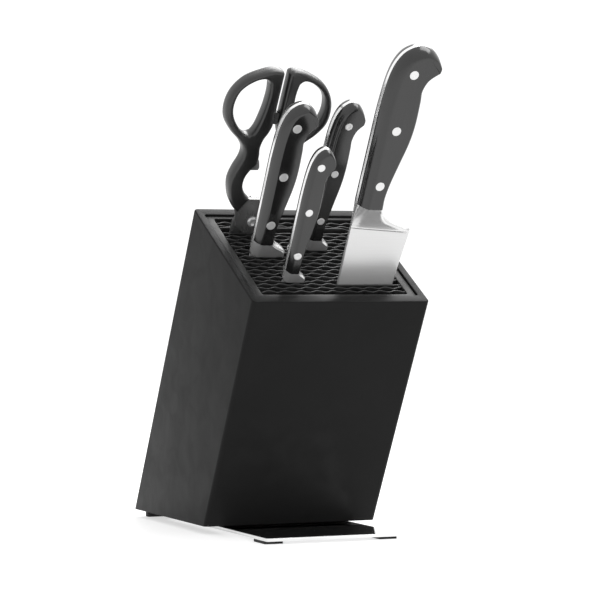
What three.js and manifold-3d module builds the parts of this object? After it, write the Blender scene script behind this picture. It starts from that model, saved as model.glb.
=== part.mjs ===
// Knife block that leans forward on a steel foot plate, with a lift-out lamella insert,
// four forged knives and a pair of kitchen scissors. Millimetres, +Z up, front of the block towards -Y.
import * as THREE from 'three';
import { mergeVertices } from 'three/addons/utils/BufferGeometryUtils.js';
import Module from 'manifold-3d';

const wasm = await Module();
wasm.setup();

// ---------- driving dimensions ----------
const LEAN = THREE.MathUtils.degToRad(30);
const GAP = 0.3;

const CASE_WIDTH = 120;
const CASE_DEPTH = 120;
const CASE_FRONT_LENGTH = 167.4;
const CASE_CORNER_RADIUS = 3;
const SIDE_WALL = 5;
const FRONT_WALL = 8;
const CAVITY_CORNER_RADIUS = 1.5;
const FLOOR_THICKNESS = 10;
const FLOOR_PROUD = 0.9;

const PLATE_WIDTH = 92;
const PLATE_THICKNESS = 2;
const PLATE_FRONT_Y = -72;
const PLATE_BACK_Y = 110;
const PLATE_CORNER_RADIUS = 2;
const SCREW_STATIONS_Y = [30, 90];
const SCREW_HEAD_RADIUS = 4;
const SCREW_SHANK_RADIUS = 2;
const SCREW_LENGTH = 10;
const SCREW_HEAD_INSET = 0.1;
const SCREW_HEAD_RIM = 0.1;
const SCREW_POINT = 2;
const FRONT_FOOT_WIDTH = 12.5;
const FRONT_FOOT_LENGTH = 20;
const FRONT_FOOT_HEIGHT = 1.7;
const FRONT_FOOT_SIDE_INSET = 0.7;
const FRONT_FOOT_INSET = 5;
const FOOT_CORNER_RADIUS = 1.5;
const BACK_FOOT_WIDTH = 12;
const BACK_FOOT_LENGTH = 7.5;
const BACK_FOOT_SIDE_INSET = 8;
const BACK_FOOT_INSET = 1;

const FRAME_RECESS = 1.2;
const FRAME_SIDE_BAND = 5.4;
const FRAME_FRONT_BAND = 3.3;
const LAMELLA_COUNT = 21;
const LAMELLA_WALL = 0.8;
const LAMELLA_WAVE = 0.95;
const LAMELLA_HALF_PERIOD = 5.4;
const LAMELLA_TOP = -1.5;
const LAMELLA_BOTTOM = -150;
const LAMELLA_BLADE_CLEARANCE = 0.5;

const TANG_THICKNESS = 2.5;
const BLADE_THICKNESS = 2.4;
const EDGE_THICKNESS = 0.5;
const RIVET_SIDES = 16;
const OUTLINE_SEGMENTS = 3;
// Shares of the handle's width that its two long sides are rounded in by.
const SPINE_ROUNDING = 0.2;
const BELLY_ROUNDING = 0.11;
// Shares of the bolster's height: its depth at the spine, the depth at which it is thinnest,
// and the start of its taper.
const BOLSTER_SPINE_DEPTH = 0.95;
const BOLSTER_THIN_DEPTH = 1.1;
const BOLSTER_TAPER_START = 0.15;

// x: spine, depth: distance behind the front face, foot: height of the scales' lower end above the rim,
// rivets: centres from the spine and from the scales' lower end.
const KNIVES = [
  {
    name: 'chef_knife', x: 6.5, depth: 26, foot: 56, handleLength: 108, handleWidth: 25.6, thickness: 19,
    rivetRadius: 3, rivets: [[8.9, 16.2], [11.2, 54.1], [14.1, 91.9]], guard: 'heel', guardHeight: 18.5,
    guardWidth: 41, guardThickness: 3, bladeLength: 203, bladeTaper: 0.94, tipOffset: 6.5,
  },
  {
    name: 'slicing_knife', x: -40, depth: 63, foot: 9, handleLength: 96.5, handleWidth: 19.4, thickness: 16,
    rivetRadius: 3, rivets: [[6.7, 14.2], [8.3, 48.3], [10.4, 82]], guard: 'collar', guardHeight: 10.2,
    guardWidth: 22.5, guardThickness: 10, bladeLength: 180, bladeTaper: 0.98, tipOffset: 5,
  },
  {
    name: 'utility_knife', x: -0.9, depth: 71.7, foot: 7.4, handleLength: 96, handleWidth: 16.6,
    thickness: 15, rivetRadius: 2.5, rivets: [[5.5, 14.1], [7.8, 48], [10, 81.6]], guard: 'collar',
    guardHeight: 8.6, guardWidth: 16.6, guardThickness: 9.5, bladeLength: 140, bladeTaper: 0.98, tipOffset: 4,
  },
  {
    name: 'paring_knife', x: -29.4, depth: 30, foot: 6.2, handleLength: 85, handleWidth: 12.9, thickness: 13,
    rivetRadius: 2.5, rivets: [[3.9, 12.5], [5, 43.2], [6.5, 74.3]], guard: 'collar', guardHeight: 7.4,
    guardWidth: 14, guardThickness: 8.5, bladeLength: 90, bladeTaper: 0.98, tipOffset: 4,
  },
];

const SCISSORS_X = -30;
const SCISSORS_DEPTH = 94;
const SCISSORS_PIVOT_HEIGHT = 6.2;
const SCISSORS_TILT = THREE.MathUtils.degToRad(-1.3);
const SCISSORS_STEEL = 2.4;
const SCISSORS_STEEL_GAP = 0.4;
const SCISSORS_GRIP_THICKNESS = 10;
const SCISSORS_BLADE_LENGTH = 88;
const SCISSORS_PIVOT_RADIUS = 2.5;
const SCISSORS_PIVOT_HEAD_RADIUS = 3.6;
const SCISSORS_PIVOT_HEAD = 1.2;
const SCISSORS_PIVOT_OVERLAP = 0.5;
const SCISSORS_SWEEP_X = 36;
const GRIP_ROUNDING_IN = 1.2;
const GRIP_ROUNDING_DOWN = 2.4;
const GRIP_STOP = { x0: -6, x1: 1.3, y0: 70, y1: 78, halfThickness: 2.5 };

// ---------- materials ----------
const MATERIALS = {
  casing: new THREE.MeshStandardMaterial({ color: 0x2b2b2c, roughness: 0.55, metalness: 0 }),
  panel: new THREE.MeshStandardMaterial({ color: 0x1c1c1c, roughness: 0.8, metalness: 0 }),
  insert: new THREE.MeshStandardMaterial({ color: 0x3a3a3b, roughness: 0.6, metalness: 0 }),
  lamella: new THREE.MeshStandardMaterial({ color: 0x242425, roughness: 0.6, metalness: 0 }),
  plate: new THREE.MeshStandardMaterial({ color: 0xd8d9da, roughness: 0.12, metalness: 1 }),
  foot: new THREE.MeshStandardMaterial({ color: 0x111111, roughness: 0.9, metalness: 0 }),
  blade: new THREE.MeshStandardMaterial({ color: 0xcfd0d1, roughness: 0.3, metalness: 1 }),
  scale: new THREE.MeshStandardMaterial({ color: 0x1d1d1e, roughness: 0.42, metalness: 0 }),
  rivet: new THREE.MeshStandardMaterial({ color: 0xd2d3d4, roughness: 0.28, metalness: 1 }),
  grip: new THREE.MeshStandardMaterial({ color: 0x2a2a2b, roughness: 0.5, metalness: 0 }),
  screw: new THREE.MeshStandardMaterial({ color: 0xbdbebf, roughness: 0.35, metalness: 1 }),
};

// ---------- helpers ----------
function solid(geometry) {
  const bare = geometry.clone();
  bare.deleteAttribute('normal');
  bare.deleteAttribute('uv');
  const merged = mergeVertices(bare, 1e-4);
  const mesh = new wasm.Mesh({
    numProp: 3,
    vertProperties: new Float32Array(merged.attributes.position.array),
    triVerts: new Uint32Array(merged.index.array),
  });
  return new wasm.Manifold(mesh);
}

function geometryOf(body) {
  const mesh = body.getMesh();
  const geometry = new THREE.BufferGeometry();
  geometry.setAttribute('position', new THREE.BufferAttribute(new Float32Array(mesh.vertProperties), 3));
  geometry.setIndex(new THREE.BufferAttribute(new Uint32Array(mesh.triVerts), 1));
  geometry.computeVertexNormals();
  return geometry;
}

function namedMesh(name, body, material) {
  const mesh = new THREE.Mesh(geometryOf(body), material);
  mesh.name = name;
  return mesh;
}

function polygon(points) {
  return new THREE.Shape(points.map(([x, y]) => new THREE.Vector2(x, y)));
}

function vectors(points) {
  return points.map(([x, y]) => new THREE.Vector2(x, y));
}

// An outline pushed along Z and centred on Z = 0.
function slab(shape, depth, curveSegments = 2) {
  const geometry = new THREE.ExtrudeGeometry(shape, { depth, bevelEnabled: false, curveSegments });
  return geometry.translate(0, 0, -depth / 2);
}

function box(x0, x1, y0, y1, z0, z1) {
  const geometry = new THREE.BoxGeometry(x1 - x0, y1 - y0, z1 - z0);
  return solid(geometry.translate((x0 + x1) / 2, (y0 + y1) / 2, (z0 + z1) / 2));
}

function roundedRectangle(x0, x1, y0, y1, radius) {
  const shape = new THREE.Shape();
  shape.moveTo(x0 + radius, y0);
  shape.lineTo(x1 - radius, y0);
  shape.absarc(x1 - radius, y0 + radius, radius, -Math.PI / 2, 0);
  shape.lineTo(x1, y1 - radius);
  shape.absarc(x1 - radius, y1 - radius, radius, 0, Math.PI / 2);
  shape.lineTo(x0 + radius, y1);
  shape.absarc(x0 + radius, y1 - radius, radius, Math.PI / 2, Math.PI);
  shape.lineTo(x0, y0 + radius);
  shape.absarc(x0 + radius, y0 + radius, radius, Math.PI, 1.5 * Math.PI);
  return shape;
}

function prism(shape, bottom, top) {
  const geometry = new THREE.ExtrudeGeometry(shape, {
    depth: top - bottom, bevelEnabled: false, curveSegments: 4,
  });
  return solid(geometry.translate(0, 0, bottom));
}

// A round bar along Z.
function bar(radius, z0, z1, sides = RIVET_SIDES) {
  const geometry = new THREE.CylinderGeometry(radius, radius, z1 - z0, sides);
  return solid(geometry.rotateX(Math.PI / 2).translate(0, 0, (z0 + z1) / 2));
}

// ---------- block: leaning frame, x across, y into the depth, z out of the rim ----------
const DEEPEST = -CASE_FRONT_LENGTH - CASE_DEPTH * Math.tan(LEAN) - 20;

// All space below a level height over the casing's underside.
function spaceBelow(height) {
  const geometry = new THREE.BoxGeometry(4 * CASE_WIDTH, 4 * CASE_DEPTH, 2 * CASE_DEPTH);
  geometry.translate(0, 0, -CASE_DEPTH);
  geometry.rotateX(-LEAN);
  geometry.translate(0, 0, -CASE_FRONT_LENGTH + height / Math.cos(LEAN));
  return solid(geometry);
}

function cavityOutline(gap) {
  const halfWidth = CASE_WIDTH / 2 - SIDE_WALL - gap;
  const front = FRONT_WALL + gap;
  return roundedRectangle(-halfWidth, halfWidth, front, CASE_DEPTH - front, CAVITY_CORNER_RADIUS);
}

function casingBody() {
  const halfWidth = CASE_WIDTH / 2;
  const outer = roundedRectangle(-halfWidth, halfWidth, 0, CASE_DEPTH, CASE_CORNER_RADIUS);
  const hollow = prism(cavityOutline(0), DEEPEST - 1, 1);
  return prism(outer, DEEPEST, 0).subtract(hollow).subtract(spaceBelow(0));
}

function floorBody(screwHoles) {
  const block = prism(cavityOutline(GAP), DEEPEST, 0);
  return block.intersect(spaceBelow(FLOOR_THICKNESS)).subtract(spaceBelow(-FLOOR_PROUD)).subtract(screwHoles);
}

function insertInner() {
  const halfWidth = CASE_WIDTH / 2 - SIDE_WALL - GAP - FRAME_SIDE_BAND;
  const front = FRONT_WALL + GAP + FRAME_FRONT_BAND;
  return { halfWidth, front, back: CASE_DEPTH - front };
}

// The insert's frame is a sleeve that stands on the floor panel.
function insertFrameBody() {
  const inner = insertInner();
  const width = inner.halfWidth;
  const hole = roundedRectangle(-width, width, inner.front, inner.back, CAVITY_CORNER_RADIUS);
  const sleeve = prism(cavityOutline(GAP), DEEPEST, -FRAME_RECESS).subtract(prism(hole, DEEPEST - 1, 1));
  return sleeve.subtract(spaceBelow(FLOOR_THICKNESS + GAP));
}

// Where a blade stands between two lamellae: across from x0 to x1, half a thickness either side of its depth.
function bladeSlots() {
  const slots = KNIVES.map((knife) => ({
    x0: knife.x, x1: knife.x + knife.guardWidth, depth: knife.depth, half: TANG_THICKNESS / 2,
  }));
  const scissorsHalf = SCISSORS_STEEL + SCISSORS_STEEL_GAP / 2;
  slots.push({ x0: -CASE_WIDTH / 2, x1: SCISSORS_SWEEP_X, depth: SCISSORS_DEPTH, half: scissorsHalf });
  return slots;
}

// Depth of one lamella at one station: a zigzag wave, laid flat against any blade that stands beside it.
function lamellaDepth(index, station, x, slots) {
  const inner = insertInner();
  const pitch = (inner.back - inner.front) / (LAMELLA_COUNT + 1);
  const middle = inner.front + pitch * (index + 1);
  const wave = (index + station) % 2 === 0 ? LAMELLA_WAVE : -LAMELLA_WAVE;
  let depth = middle + wave;
  for (const slot of slots) {
    const beside = x > slot.x0 - LAMELLA_HALF_PERIOD && x < slot.x1 + LAMELLA_HALF_PERIOD;
    const clear = slot.half + LAMELLA_BLADE_CLEARANCE + LAMELLA_WALL / 2;
    if (beside && middle >= slot.depth) depth = Math.max(depth, slot.depth + clear);
    if (beside && middle < slot.depth) depth = Math.min(depth, slot.depth - clear);
  }
  return depth;
}

function lamellaBody(index, slots) {
  const halfWidth = insertInner().halfWidth - GAP;
  const stations = Math.round((2 * halfWidth) / LAMELLA_HALF_PERIOD);
  const step = (2 * halfWidth) / stations;
  const near = [];
  const far = [];
  for (let station = 0; station <= stations; station += 1) {
    const x = -halfWidth + station * step;
    const depth = lamellaDepth(index, station, x, slots);
    near.push([x, depth - LAMELLA_WALL / 2]);
    far.unshift([x, depth + LAMELLA_WALL / 2]);
  }
  return prism(polygon([...near, ...far]), LAMELLA_BOTTOM, LAMELLA_TOP);
}

// ---------- foot plate: upright frame, origin under the casing's front edge ----------
const PLATE_TOP = -FLOOR_PROUD - GAP;
const PLATE_BOTTOM = PLATE_TOP - PLATE_THICKNESS;
const GROUND = PLATE_BOTTOM - GAP - FRONT_FOOT_HEIGHT;

// A countersunk screw along Z from its head's flat face up, or with a gap the hole that it turns in.
function screwBody(gap) {
  const head = PLATE_BOTTOM + SCREW_HEAD_INSET;
  const under = gap > 0 ? PLATE_BOTTOM - 1 : head;
  const end = PLATE_BOTTOM + SCREW_LENGTH + gap;
  const profile = [
    [0, under], [SCREW_HEAD_RADIUS + gap, under], [SCREW_HEAD_RADIUS + gap, head + SCREW_HEAD_RIM],
    [SCREW_SHANK_RADIUS + gap, PLATE_TOP], [SCREW_SHANK_RADIUS + gap, end - SCREW_POINT], [0, end],
  ];
  return solid(new THREE.LatheGeometry(vectors(profile), RIVET_SIDES).rotateX(Math.PI / 2));
}

function screwHoles() {
  const [first, second] = SCREW_STATIONS_Y.map((y) => screwBody(GAP).translate([0, y, 0]));
  return first.add(second);
}

function basePlateBody() {
  const halfWidth = PLATE_WIDTH / 2;
  const outline = roundedRectangle(-halfWidth, halfWidth, PLATE_FRONT_Y, PLATE_BACK_Y, PLATE_CORNER_RADIUS);
  return prism(outline, PLATE_BOTTOM, PLATE_TOP).subtract(screwHoles());
}

// The front feet are flat pads under the plate.
function frontFootBody(side) {
  const outer = PLATE_WIDTH / 2 - FRONT_FOOT_SIDE_INSET;
  const x0 = side > 0 ? outer - FRONT_FOOT_WIDTH : -outer;
  const y0 = PLATE_FRONT_Y + FRONT_FOOT_INSET;
  const outline = roundedRectangle(x0, x0 + FRONT_FOOT_WIDTH, y0, y0 + FRONT_FOOT_LENGTH, FOOT_CORNER_RADIUS);
  return prism(outline, GROUND, PLATE_BOTTOM - GAP);
}

// The back feet are taller blocks under the casing's back wall.
function backFootBody(side) {
  const outer = CASE_WIDTH / 2 - BACK_FOOT_SIDE_INSET;
  const x0 = side > 0 ? outer - BACK_FOOT_WIDTH : -outer;
  const y1 = CASE_DEPTH / Math.cos(LEAN) - BACK_FOOT_INSET;
  const y0 = y1 - BACK_FOOT_LENGTH;
  const outline = roundedRectangle(x0, x0 + BACK_FOOT_WIDTH, y0, y1, FOOT_CORNER_RADIUS);
  return prism(outline, GROUND, -GAP);
}

// ---------- knives: x from the spine to the edge, y up from the foot of the scales, z across ----------
// Fractions of the handle's width and length, from the lower end up the belly to the beak.
const BELLY = [
  [0.66, 0], [0.65, 0.07], [0.7, 0.16], [0.81, 0.28], [0.94, 0.42], [0.99, 0.54], [0.98, 0.68], [0.96, 0.745],
  [1.02, 0.8], [1.14, 0.835], [1.26, 0.86],
];
// From the beak to the top of the butt.
const BEAK = [[1.28, 0.895], [1.19, 0.945], [1, 0.985], [0.78, 1]];
// From the top of the butt down to the straight spine.
const SHOULDER = [[0.53, 0.985], [0.3, 0.945], [0.13, 0.87], [0.04, 0.76], [0, 0.6]];

function sizedPoints(knife, fractions) {
  return vectors(fractions.map(([x, y]) => [x * knife.handleWidth, y * knife.handleLength]));
}

function handleOutline(knife) {
  const shape = new THREE.Shape();
  shape.moveTo(0, 0);
  shape.lineTo(BELLY[0][0] * knife.handleWidth, 0);
  shape.splineThru(sizedPoints(knife, BELLY.slice(1)));
  shape.splineThru(sizedPoints(knife, [...BEAK, ...SHOULDER]));
  shape.lineTo(0, 0);
  return shape;
}

function withRivetHoles(body, knife) {
  let drilled = body;
  for (const [x, y] of knife.rivets) {
    const hole = bar(knife.rivetRadius + GAP, -knife.thickness, knife.thickness).translate([x, y, 0]);
    drilled = drilled.subtract(hole);
  }
  return drilled;
}

// All space in front of the spine and below the butt, falling away from the flat faces to the tang.
function spineRounding(knife) {
  const inset = SPINE_ROUNDING * knife.handleWidth;
  const far = 2 * knife.guardWidth;
  const [butt] = sizedPoints(knife, BEAK.slice(-1));
  const shape = new THREE.Shape();
  shape.moveTo(far, -knife.handleLength);
  shape.lineTo(far, butt.y);
  shape.lineTo(butt.x, butt.y);
  shape.splineThru(sizedPoints(knife, SHOULDER));
  shape.lineTo(0, -knife.handleLength);
  const rounded = new THREE.ExtrudeGeometry(shape, {
    depth: TANG_THICKNESS,
    bevelThickness: (knife.thickness - TANG_THICKNESS) / 2,
    bevelSize: inset,
    bevelOffset: -inset,
    bevelSegments: 3,
    curveSegments: OUTLINE_SEGMENTS,
  });
  return solid(rounded.translate(0, 0, -TANG_THICKNESS / 2));
}

// Both scales are halves of one rounded handle.
function scaleBody(knife, side) {
  const flat = knife.thickness / 2;
  const inside = TANG_THICKNESS / 2 + GAP;
  const roundX = BELLY_ROUNDING * knife.handleWidth;
  const roundZ = flat - inside;
  const rounded = new THREE.ExtrudeGeometry(handleOutline(knife), {
    depth: 2 * inside,
    bevelThickness: roundZ,
    bevelSize: roundX,
    bevelOffset: -roundX,
    bevelSegments: 2,
    curveSegments: 1,
  });
  const whole = solid(rounded.translate(0, 0, -inside)).intersect(spineRounding(knife));
  const reach = 2 * knife.handleLength;
  const frontHalf = box(-reach, reach, GAP, reach, inside, reach);
  const half = side > 0 ? frontHalf : frontHalf.mirror([0, 0, 1]);
  return withRivetHoles(whole.intersect(half), knife);
}

// The lower half of the bolster's outline from the blade's edge up to the handle's neck, as shares of the
// flare beyond the neck and of the bolster's height.
const GUARD_EDGES = {
  heel: [[1, 1.1], [1, 0.93], [0.62, 0.77], [0.3, 0.62], [0.14, 0.44], [0.06, 0.23]],
  collar: [[1, 1], [1, 0.72], [0.82, 0.52], [0.3, 0.24], [0.05, 0.06]],
};

// The bolster widens towards the heel and thins towards the blade.
function bolsterBody(knife) {
  const neck = BELLY[0][0] * knife.handleWidth;
  const drop = knife.guardHeight;
  const flare = knife.guardWidth - neck;
  const edge = GUARD_EDGES[knife.guard].map(([out, down]) => [neck + out * flare, -down * drop]);
  const side = polygon([[0, 0], [0, -BOLSTER_SPINE_DEPTH * drop], ...edge, [neck, 0]]);
  const top = knife.thickness / 2;
  const low = knife.guardThickness / 2;
  const bottom = -BOLSTER_THIN_DEPTH * drop;
  const shoulder = -BOLSTER_TAPER_START * drop;
  const across = polygon([
    [-low, bottom], [low, bottom], [top, shoulder], [top, 0], [-top, 0], [-top, shoulder],
  ]);
  const wedge = slab(across, 4 * knife.guardWidth).rotateY(Math.PI / 2);
  return solid(slab(side, 2 * knife.thickness)).intersect(solid(wedge)).intersect(spineRounding(knife));
}

function bladeOutline(knife) {
  const heel = -knife.guardHeight + 1;
  const tip = -knife.guardHeight - knife.bladeLength;
  const at = (x, share) => new THREE.Vector2(x, heel + (tip - heel) * share);
  const width = knife.guardWidth;
  const shape = new THREE.Shape();
  shape.moveTo(0, heel);
  shape.lineTo(0, at(0, 0.6).y);
  shape.splineThru([at(0.1 * knife.tipOffset, 0.75), at(0.4 * knife.tipOffset, 0.9), at(knife.tipOffset, 1)]);
  shape.splineThru([
    at(0.4 * width, 0.92), at(0.64 * width, 0.78), at(0.8 * width, 0.6), at(0.9 * width, 0.36),
    at(knife.bladeTaper * width, 0.17), at(width, 0.02),
  ]);
  shape.lineTo(width, heel);
  return shape;
}

function bladeBody(knife) {
  const outline = solid(slab(bladeOutline(knife), BLADE_THICKNESS));
  const spine = BLADE_THICKNESS / 2;
  const edge = EDGE_THICKNESS / 2;
  const width = knife.guardWidth;
  const section = polygon([[-1, -spine], [0.35 * width, -spine], [width + 1, -edge], [width + 1, edge],
    [0.35 * width, spine], [-1, spine]]);
  const ground = slab(section, 4 * knife.bladeLength).rotateX(Math.PI / 2);
  return outline.intersect(solid(ground));
}

function forgedBody(knife) {
  const tang = solid(slab(handleOutline(knife), TANG_THICKNESS, OUTLINE_SEGMENTS));
  const overlap = 0.01;
  const bolster = bolsterBody(knife).translate([0, overlap, 0]);
  return withRivetHoles(tang.add(bolster).add(bladeBody(knife)), knife);
}

function knifeGroup(knife) {
  const group = new THREE.Group();
  const half = knife.thickness / 2;
  group.add(namedMesh(`${knife.name}_blade`, forgedBody(knife), MATERIALS.blade));
  group.add(namedMesh(`${knife.name}_front_scale`, scaleBody(knife, 1), MATERIALS.scale));
  group.add(namedMesh(`${knife.name}_rear_scale`, scaleBody(knife, -1), MATERIALS.scale));
  knife.rivets.forEach(([x, y], i) => {
    const rivet = bar(knife.rivetRadius, -half, half).translate([x, y, 0]);
    group.add(namedMesh(`${knife.name}_rivet_${i + 1}`, rivet, MATERIALS.rivet));
  });
  group.position.set(knife.x, knife.depth, knife.foot);
  group.rotation.x = Math.PI / 2;
  return group;
}

// ---------- scissors: origin at the pivot, x across, y up towards the loops, z towards the front ----------
const GRIP_OUTER = [
  [2.4, 105.8], [7.3, 106.8], [15, 105], [25.9, 99.8], [33, 91.5], [35.9, 82], [34.5, 72], [29, 64],
  [22.5, 58], [18.4, 52], [18.2, 45.5], [21.4, 36.5], [22.8, 28], [20.5, 18], [16, 10.4], [12.3, 6.8],
];
const GRIP_INNER = [
  [9.5, 20], [12.4, 25.5], [12.2, 32], [9.6, 37.4], [6.4, 42], [5.9, 47.7], [6.6, 53], [5.6, 59], [3.2, 64],
  [1.6, 69],
];
const GRIP_LOOP = [
  [10.4, 98.5], [9.6, 93], [9.6, 87], [10.4, 78], [13, 66.5], [16.8, 62], [22.5, 64.8], [28.5, 73],
  [30.5, 81], [29.2, 89.3], [25.5, 94.8], [19, 99.3], [13.2, 100.6],
];
const SHANK = [
  [12.4, 4], [14.2, 10], [17.6, 15.5], [19.4, 22], [19.4, 28], [17.6, 36], [15.2, 44], [13.6, 56], [10.4, 56],
  [9.4, 48], [6.6, 46.2], [4.9, 43.4], [3.8, 39], [4.4, 37.2], [9.6, 36.9], [14.4, 34], [15.6, 28],
  [14.6, 21.5], [11.2, 17.4], [5.8, 16.2], [-3, 16.2], [-8, 12], [-10, 4],
];

function gripOutline() {
  const shape = new THREE.Shape();
  shape.moveTo(1.6, 103);
  shape.splineThru(vectors(GRIP_OUTER));
  shape.lineTo(5.9, 16.8);
  shape.splineThru(vectors(GRIP_INNER));
  shape.lineTo(1.6, 103);
  const loop = new THREE.Path();
  const [start, ...rest] = vectors(GRIP_LOOP);
  loop.moveTo(start.x, start.y);
  loop.splineThru([...rest, start]);
  shape.holes.push(loop);
  return shape;
}

function steelOutline() {
  const tip = -SCISSORS_BLADE_LENGTH;
  return polygon([
    ...SHANK, [-12, -2], [-12, -30], [-9.5, -60], [-5, tip + 4], [-2.5, tip], [0.8, tip + 1], [2.2, -12],
    [5, -8], [11, -4],
  ]);
}

// Side 1 is the half with its grip on the right and its steel behind, side -1 its mirror image in front.
function steelBody(side, margin) {
  const offset = -side * (SCISSORS_STEEL + SCISSORS_STEEL_GAP) / 2;
  const plate = solid(slab(steelOutline(), SCISSORS_STEEL + 2 * margin)).translate([0, 0, offset]);
  return side > 0 ? plate : plate.mirror([1, 0, 0]);
}

// The pocket that takes the steel is the shank again, a little larger all round.
function pocketBody(side) {
  const shift = GAP;
  let pocket = steelBody(side, GAP);
  for (const [dx, dy] of [[shift, 0], [-shift, 0], [0, shift], [0, -shift]]) {
    pocket = pocket.add(steelBody(side, GAP).translate([dx, dy, 0]));
  }
  return pocket;
}

function gripBody(side) {
  const rounded = new THREE.ExtrudeGeometry(gripOutline(), {
    depth: SCISSORS_GRIP_THICKNESS - 2 * GRIP_ROUNDING_DOWN,
    bevelThickness: GRIP_ROUNDING_DOWN,
    bevelSize: GRIP_ROUNDING_IN,
    bevelOffset: -GRIP_ROUNDING_IN,
    bevelSegments: 2,
    curveSegments: 2,
  });
  const right = solid(rounded.translate(0, 0, GRIP_ROUNDING_DOWN - SCISSORS_GRIP_THICKNESS / 2));
  if (side > 0) return right.subtract(pocketBody(side));
  const stop = GRIP_STOP;
  const rubber = box(stop.x0, stop.x1, stop.y0, stop.y1, -stop.halfThickness, stop.halfThickness);
  return right.mirror([1, 0, 0]).add(rubber).subtract(pocketBody(side));
}

function pivotBody() {
  const reach = SCISSORS_STEEL + SCISSORS_STEEL_GAP / 2 + GAP;
  const top = reach + SCISSORS_PIVOT_HEAD;
  const end = reach + SCISSORS_PIVOT_OVERLAP;
  const shank = bar(SCISSORS_PIVOT_RADIUS, -end, end);
  const frontHead = bar(SCISSORS_PIVOT_HEAD_RADIUS, reach, top);
  const rearHead = bar(SCISSORS_PIVOT_HEAD_RADIUS, -top, -reach);
  return shank.add(frontHead).add(rearHead);
}

function drilledSteel(side) {
  return steelBody(side, 0).subtract(bar(SCISSORS_PIVOT_RADIUS + GAP, -10, 10));
}

function scissorsGroup() {
  const group = new THREE.Group();
  group.add(namedMesh('scissors_right_blade', drilledSteel(1), MATERIALS.blade));
  group.add(namedMesh('scissors_left_blade', drilledSteel(-1), MATERIALS.blade));
  group.add(namedMesh('scissors_right_grip', gripBody(1), MATERIALS.grip));
  group.add(namedMesh('scissors_left_grip', gripBody(-1), MATERIALS.grip));
  group.add(namedMesh('scissors_pivot', pivotBody(), MATERIALS.screw));
  group.position.set(SCISSORS_X, SCISSORS_DEPTH, SCISSORS_PIVOT_HEIGHT);
  group.rotation.set(Math.PI / 2, 0, SCISSORS_TILT);
  return group;
}

// ---------- assembly ----------
function leaningGroup() {
  const group = new THREE.Group();
  group.add(namedMesh('casing', casingBody(), MATERIALS.casing));
  group.add(namedMesh('insert_frame', insertFrameBody(), MATERIALS.insert));
  const slots = bladeSlots();
  for (let i = 0; i < LAMELLA_COUNT; i += 1) {
    const name = `lamella_${String(i + 1).padStart(2, '0')}`;
    group.add(namedMesh(name, lamellaBody(i, slots), MATERIALS.lamella));
  }
  KNIVES.forEach((knife) => group.add(knifeGroup(knife)));
  group.add(scissorsGroup());
  group.add(namedMesh('floor_panel', floorBody(leaningScrewHoles()), MATERIALS.panel));
  group.rotation.x = LEAN;
  group.position.set(0, -CASE_FRONT_LENGTH * Math.sin(LEAN), CASE_FRONT_LENGTH * Math.cos(LEAN));
  return group;
}

// The screw holes of the upright frame, turned into the leaning frame.
function leaningScrewHoles() {
  const turned = screwHoles().rotate([-THREE.MathUtils.radToDeg(LEAN), 0, 0]);
  return turned.translate([0, 0, -CASE_FRONT_LENGTH]);
}

function footPlateGroup() {
  const group = new THREE.Group();
  group.add(namedMesh('base_plate', basePlateBody(), MATERIALS.plate));
  SCREW_STATIONS_Y.forEach((y, i) => {
    group.add(namedMesh(`plate_screw_${i + 1}`, screwBody(0).translate([0, y, 0]), MATERIALS.screw));
  });
  group.add(namedMesh('foot_front_left', frontFootBody(-1), MATERIALS.foot));
  group.add(namedMesh('foot_front_right', frontFootBody(1), MATERIALS.foot));
  group.add(namedMesh('foot_back_left', backFootBody(-1), MATERIALS.foot));
  group.add(namedMesh('foot_back_right', backFootBody(1), MATERIALS.foot));
  return group;
}

const knifeBlock = new THREE.Group();
knifeBlock.add(leaningGroup());
knifeBlock.add(footPlateGroup());

// The origin is the middle of the underside of everything's bounding box.
knifeBlock.updateMatrixWorld(true);
const bounds = new THREE.Box3().setFromObject(knifeBlock, true);
const middle = bounds.getCenter(new THREE.Vector3());
knifeBlock.position.set(-middle.x, -middle.y, -bounds.min.z);

export default knifeBlock;
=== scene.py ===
"""Looks for the knife block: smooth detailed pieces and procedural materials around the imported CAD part."""

import math

import bmesh
import bpy
import numpy as np
from mathutils import Matrix, Vector
from mathutils.geometry import tessellate_polygon


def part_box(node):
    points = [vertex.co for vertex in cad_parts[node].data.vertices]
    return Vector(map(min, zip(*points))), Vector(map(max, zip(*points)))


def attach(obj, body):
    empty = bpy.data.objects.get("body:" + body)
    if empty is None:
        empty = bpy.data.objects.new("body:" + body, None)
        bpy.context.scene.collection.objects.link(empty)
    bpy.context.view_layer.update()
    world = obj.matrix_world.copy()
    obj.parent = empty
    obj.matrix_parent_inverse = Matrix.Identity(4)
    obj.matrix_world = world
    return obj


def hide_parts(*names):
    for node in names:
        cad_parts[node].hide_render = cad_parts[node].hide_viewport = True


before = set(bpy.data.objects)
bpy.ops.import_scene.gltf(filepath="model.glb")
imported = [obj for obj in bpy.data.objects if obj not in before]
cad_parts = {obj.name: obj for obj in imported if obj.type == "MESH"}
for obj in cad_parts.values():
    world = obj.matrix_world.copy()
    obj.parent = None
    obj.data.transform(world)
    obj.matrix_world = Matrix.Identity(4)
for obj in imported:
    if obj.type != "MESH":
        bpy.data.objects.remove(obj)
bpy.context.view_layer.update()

# ---------- dimensions, in millimetres; the main ones are the CAD part's ----------
LEAN = math.radians(30)
CASE_WIDTH, CASE_DEPTH, CASE_FRONT_LENGTH = 120.0, 120.0, 167.4
SIDE_WALL, FRONT_WALL = 5.0, 8.0
GAP = 0.3
FLOOR_THICKNESS = 10.0
CASE_RADII, CASE_FILLETS = (3, 1.5), (0.9, 0.5)
FRAME_RADII, FRAME_FILLETS = (1.5, 1.5), (0.5, 0.6)
LOWER_FILLET, LEAST_RADIUS = 0.6, 0.1
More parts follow.
